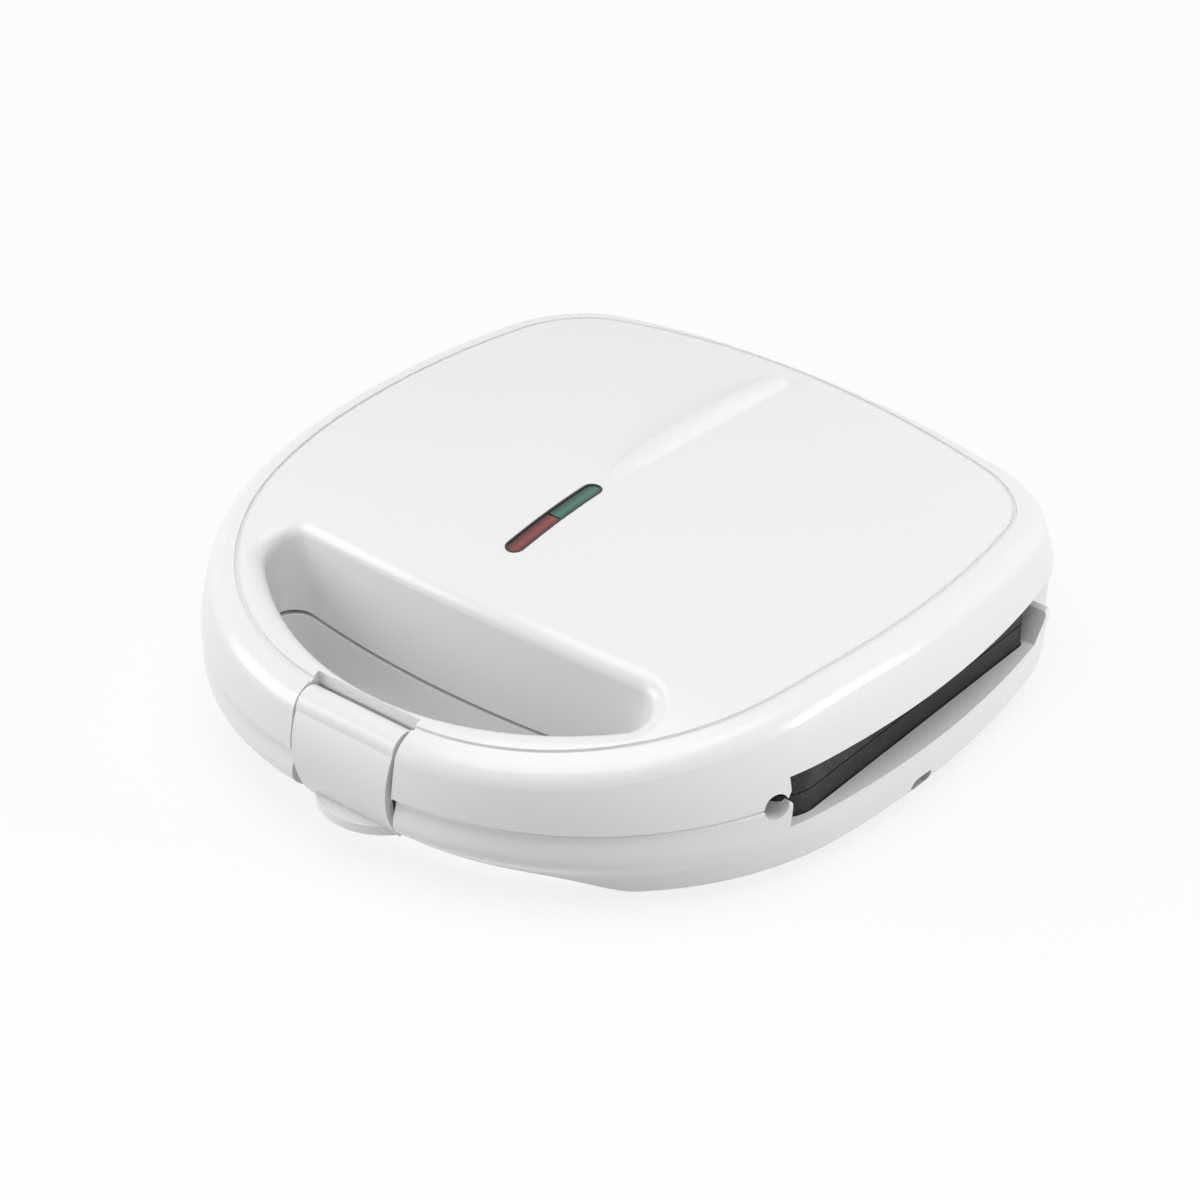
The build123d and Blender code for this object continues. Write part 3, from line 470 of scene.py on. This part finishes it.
def vector_of(tree, *terms):
    """A vector whose terms are numbers or sockets."""
    node = tree.nodes.new("ShaderNodeCombineXYZ")
    for place, term in enumerate(terms):
        if isinstance(term, (int, float)):
            node.inputs[place].default_value = term
        else:
            tree.links.new(term, node.inputs[place])
    return node.outputs[0]


def moved(tree, piece, offset):
    """A mesh node's result, moved by a vector."""
    node = tree.nodes.new("GeometryNodeTransform")
    join_nodes(tree, piece, node, "Geometry")
    tree.links.new(offset, node.inputs["Translation"])
    return node


def joined_by(tree, operation, first, *others):
    """A mesh boolean of a first piece and others."""
    node = add_node(tree, "GeometryNodeMeshBoolean", {"operation": operation, "solver": "EXACT"})
    if operation == "DIFFERENCE":
        join_nodes(tree, first, node, "Mesh 1")
    else:
        others = (first, *others)
    for other in others:
        join_nodes(tree, other, node, "Mesh 2")
    return node


def screw_tree():
    """The node group that sets a cross-recessed countersunk screw on each vertex of its input."""
    tree = bpy.data.node_groups.new("countersunk_screws", "GeometryNodeTree")
    tree.interface.new_socket("Places", in_out="INPUT", socket_type="NodeSocketGeometry")
    for name, value in {**SCREW_SIZES, "Turn over": 0.0}.items():
        socket = tree.interface.new_socket(name, in_out="INPUT", socket_type="NodeSocketFloat")
        socket.default_value = value
    tree.interface.new_socket("Finish", in_out="INPUT", socket_type="NodeSocketMaterial")
    tree.interface.new_socket("Screws", in_out="OUTPUT", socket_type="NodeSocketGeometry")
    given = tree.nodes.new("NodeGroupInput").outputs
    head, shank, length = given["Head radius"], given["Shank radius"], given["Length"]
    depth = maths(tree, "SUBTRACT", head, shank)
    cone = add_node(tree, "GeometryNodeMeshCone", Vertices=SCREW_SIDES)
    tree.links.new(head, cone.inputs["Radius Top"])
    tree.links.new(shank, cone.inputs["Radius Bottom"])
    tree.links.new(depth, cone.inputs["Depth"])
    top = moved(tree, cone, vector_of(tree, 0, 0, maths(tree, "MULTIPLY", depth, -1)))
    rod = add_node(tree, "GeometryNodeMeshCylinder", Vertices=SCREW_SIDES)
    rod_length = maths(tree, "SUBTRACT", maths(tree, "ADD", length, SCREW_OVERLAP), depth)
    tree.links.new(shank, rod.inputs["Radius"])
    tree.links.new(rod_length, rod.inputs["Depth"])
    rod_middle = maths(tree, "SUBTRACT", maths(tree, "DIVIDE", rod_length, 2), length)
    blank = joined_by(tree, "UNION", top, moved(tree, rod, vector_of(tree, 0, 0, rod_middle)))
    bars = []
    for wide in (0, 1):
        bar = tree.nodes.new("GeometryNodeMeshCube")
        sides = (given["Recess span"], given["Recess width"])
        deep = maths(tree, "MULTIPLY", given["Recess depth"], 2)
        tree.links.new(vector_of(tree, sides[wide], sides[1 - wide], deep), bar.inputs["Size"])
        bars.append(bar)
    screw = joined_by(tree, "DIFFERENCE", blank, *bars)
    turn = add_node(tree, "FunctionNodeRandomValue", {"data_type": "FLOAT"}, Seed=TURN_SEED)
    turn.inputs[RANDOM_LEAST].default_value = 0.0
    turn.inputs[RANDOM_MOST].default_value = math.pi
    spread = tree.nodes.new("GeometryNodeInstanceOnPoints")
    tree.links.new(given["Places"], spread.inputs["Points"])
    join_nodes(tree, screw, spread, "Instance")
    turned = vector_of(tree, given["Turn over"], 0, turn.outputs[RANDOM_RESULT])
    tree.links.new(turned, spread.inputs["Rotation"])
    real = tree.nodes.new("GeometryNodeRealizeInstances")
    join_nodes(tree, spread, real)
    finish = tree.nodes.new("GeometryNodeSetMaterial")
    join_nodes(tree, real, finish, "Geometry")
    tree.links.new(given["Finish"], finish.inputs["Material"])
    join_nodes(tree, finish, tree.nodes.new("NodeGroupOutput"))
    return tree


screws_tree = screw_tree()
print("screw tree nodes", len(screws_tree.nodes))

# %% [markdown]
# The lower plate's screws point down from their heads, and the upper plate's are the same ones turned
# over. Each set becomes one plain mesh that rides on its housing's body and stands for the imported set.

# %% Screws on both plates
def plate_screws(node, body, turned_over):
    """Four screws in the place of a packed set of screws."""
    low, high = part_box(node)
    reach = SCREW_SIZES["Head radius"]
    level = low[2] if turned_over else high[2]
    across, along = ((low[axis] + reach, high[axis] - reach) for axis in (0, 1))
    places = [(x, y, level) for x in across for y in along]
    seed_mesh = bpy.data.meshes.new(node + "_places")
    seed_mesh.from_pydata(places, [], [])
    maker = bpy.data.objects.new(node + "_maker", seed_mesh)
    scene.collection.objects.link(maker)
    modifier = maker.modifiers.new("screws", "NODES")
    modifier.node_group = screws_tree
    settings = {**SCREW_SIZES, "Turn over": math.pi if turned_over else 0.0, "Finish": pin_steel}
    for socket in screws_tree.interface.items_tree:
        if socket.in_out == "INPUT" and socket.name in settings:
            modifier[socket.identifier] = settings[socket.name]
    evaluated = maker.evaluated_get(bpy.context.evaluated_depsgraph_get())
    mesh = bpy.data.meshes.new_from_object(evaluated)
    mesh.materials.clear()
    mesh.materials.append(pin_steel)
    bpy.data.objects.remove(maker)
    piece = bpy.data.objects.new("cross_" + node, mesh)
    scene.collection.objects.link(piece)
    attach(piece, body)
    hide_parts(node)
    return piece


for screw_piece in (
    plate_screws("lower_plate_screws", "base", False),
    plate_screws("upper_plate_screws", "lid", True),
):
    screw_mesh = screw_piece.data
    print(screw_piece.name, "faces", len(screw_mesh.polygons), "finish", screw_mesh.materials[0].name)

# %% [markdown]
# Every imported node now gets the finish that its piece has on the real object. The table names each node
# once, so the printed count shows whether one was forgotten.

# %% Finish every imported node
FINISHES = {
    white_plastic: ("upper_housing", "lower_housing", "latch_clip"),
    plate_coating: ("upper_plate", "lower_plate"),
    pin_steel: (
        "left_hinge_pin", "right_hinge_pin", "latch_pin", "thermal_fuse",
        "upper_plate_screws", "lower_plate_screws",
    ),
    heater_steel: ("upper_heating_element", "lower_heating_element"),
    shield_sheet: ("upper_heat_shield", "lower_heat_shield"),
    dark_plastic: ("thermostat", "terminal_block", "lamp_holder", "lamp_bezel", "cord_gland"),
    red_lens: ("red_lens",),
    green_lens: ("green_lens",),
    lamp_glass: ("red_lamp", "green_lamp"),
    foot_rubber: ("front_left_foot", "front_right_foot", "rear_left_foot", "rear_right_foot"),
}
for finish, names in FINISHES.items():
    for name in names:
        nodes[name].data.materials.clear()
        nodes[name].data.materials.append(finish)
print("finished", sum(len(names) for names in FINISHES.values()), "of", len(nodes))
